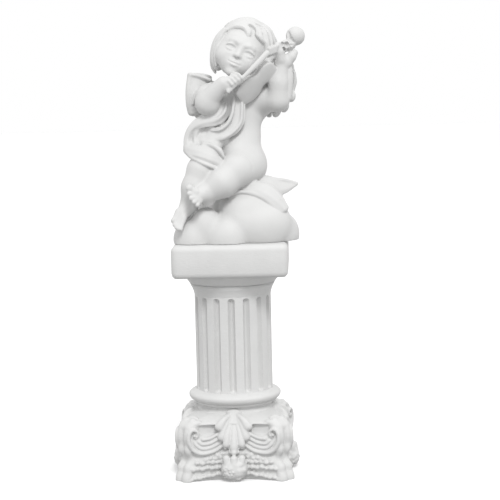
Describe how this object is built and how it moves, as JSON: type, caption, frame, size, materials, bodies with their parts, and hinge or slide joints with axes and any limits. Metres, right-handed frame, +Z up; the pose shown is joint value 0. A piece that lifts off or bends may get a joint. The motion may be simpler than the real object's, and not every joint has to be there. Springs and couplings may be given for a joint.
{
  "type": "angel statue",
  "caption": "Winged cherub playing a violin, seated on a cloud, on a short fluted column with a square block top and a leafy scrolled foot.",
  "frame": {"origin": "centre of the column's underside, on the surface it stands on", "axes": "+Z up the column, -Y out of the front, where the figure faces, +X to the viewer's right"},
  "size_m": [0.1413, 0.1273, 0.4547],
  "materials": {
    "figure_plaster": "matt white cast plaster",
    "column_plaster": "matt white cast plaster, faintly grained"
  },
  "bodies": {
    "root": {"cherub_figure": "figure_plaster", "column_plinth": "column_plaster"}
  },
  "joints": []
}
